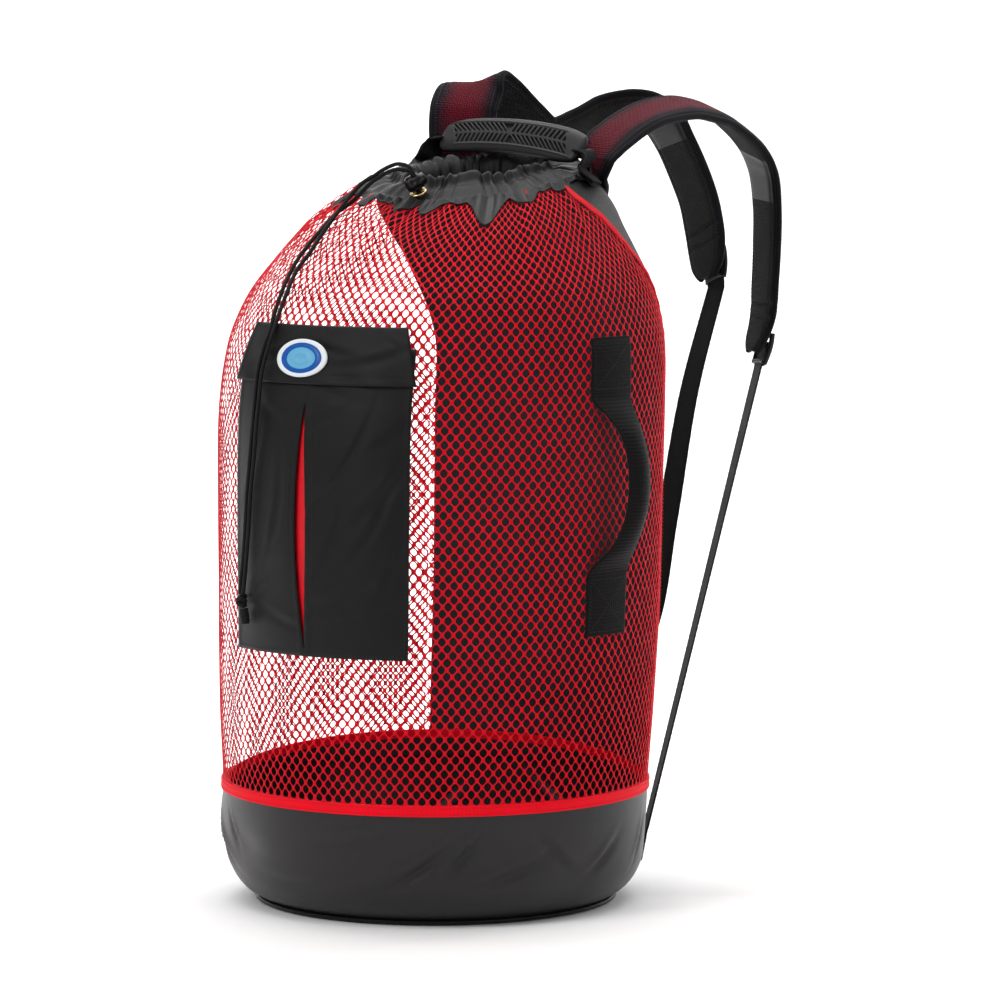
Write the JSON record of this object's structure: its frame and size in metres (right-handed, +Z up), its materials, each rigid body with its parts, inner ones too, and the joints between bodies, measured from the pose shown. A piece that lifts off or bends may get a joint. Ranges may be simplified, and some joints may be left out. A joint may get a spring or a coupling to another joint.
{
  "type": "mesh dive gear bag",
  "caption": "Upright round mesh backpack with a cloth base cup, drawstring neck, front pocket, side handle, moulded grab handle and two padded shoulder straps.",
  "frame": {"origin": "middle of the flat bottom, on the floor", "axes": "+Z up, the pocket faces -Y, the shoulder straps hang behind at +Y, +X to the wearer's right seen from the front"},
  "size_m": [0.4338, 0.6128, 0.7358],
  "materials": {
    "coated_cloth": "dark grey coated cloth, soft sheen",
    "red_net": "red knitted net",
    "red_tape": "red woven tape",
    "black_nylon": "black nylon cloth",
    "black_webbing": "black ribbed webbing",
    "badge": "satin moulded badge",
    "moulded_black": "moulded black plastic",
    "brass": "polished brass",
    "cord": "black braided cord"
  },
  "bodies": {
    "bag": {"base_cup": "coated_cloth", "base_piping": "black_nylon", "base_trim": "red_tape", "net_body": "red_net", "back_panel": "black_nylon", "neck_collar": "black_nylon", "pocket_lining": "red_tape", "pocket_body": "black_nylon", "pocket_flap": "black_nylon", "pocket_badge": "badge", "side_handle": "black_webbing", "grab_grip": "moulded_black", "grab_tab_right": "black_webbing", "grab_tab_left": "black_webbing", "strap_pad_right": "black_nylon", "strap_pad_left": "black_nylon", "strap_buckle_right": "moulded_black", "strap_buckle_left": "moulded_black", "strap_webbing_right": "black_webbing", "strap_webbing_left": "black_webbing", "cord_grommet": "brass", "cord_lock_barrel": "moulded_black", "drawcord_left": "cord", "drawcord_right": "cord", "cord_knot": "cord", "cord_end": "cord"},
    "plunger": {"cord_lock_plunger": "moulded_black"}
  },
  "joints": [
    {"name": "plunger_press", "type": "slide", "parent": "bag", "child": "plunger", "axis": [-0.393, -0.8206, -0.415], "range_m": [0, 0.003], "stiffness_N_per_m": 600, "springref_m": -0.002}
  ]
}
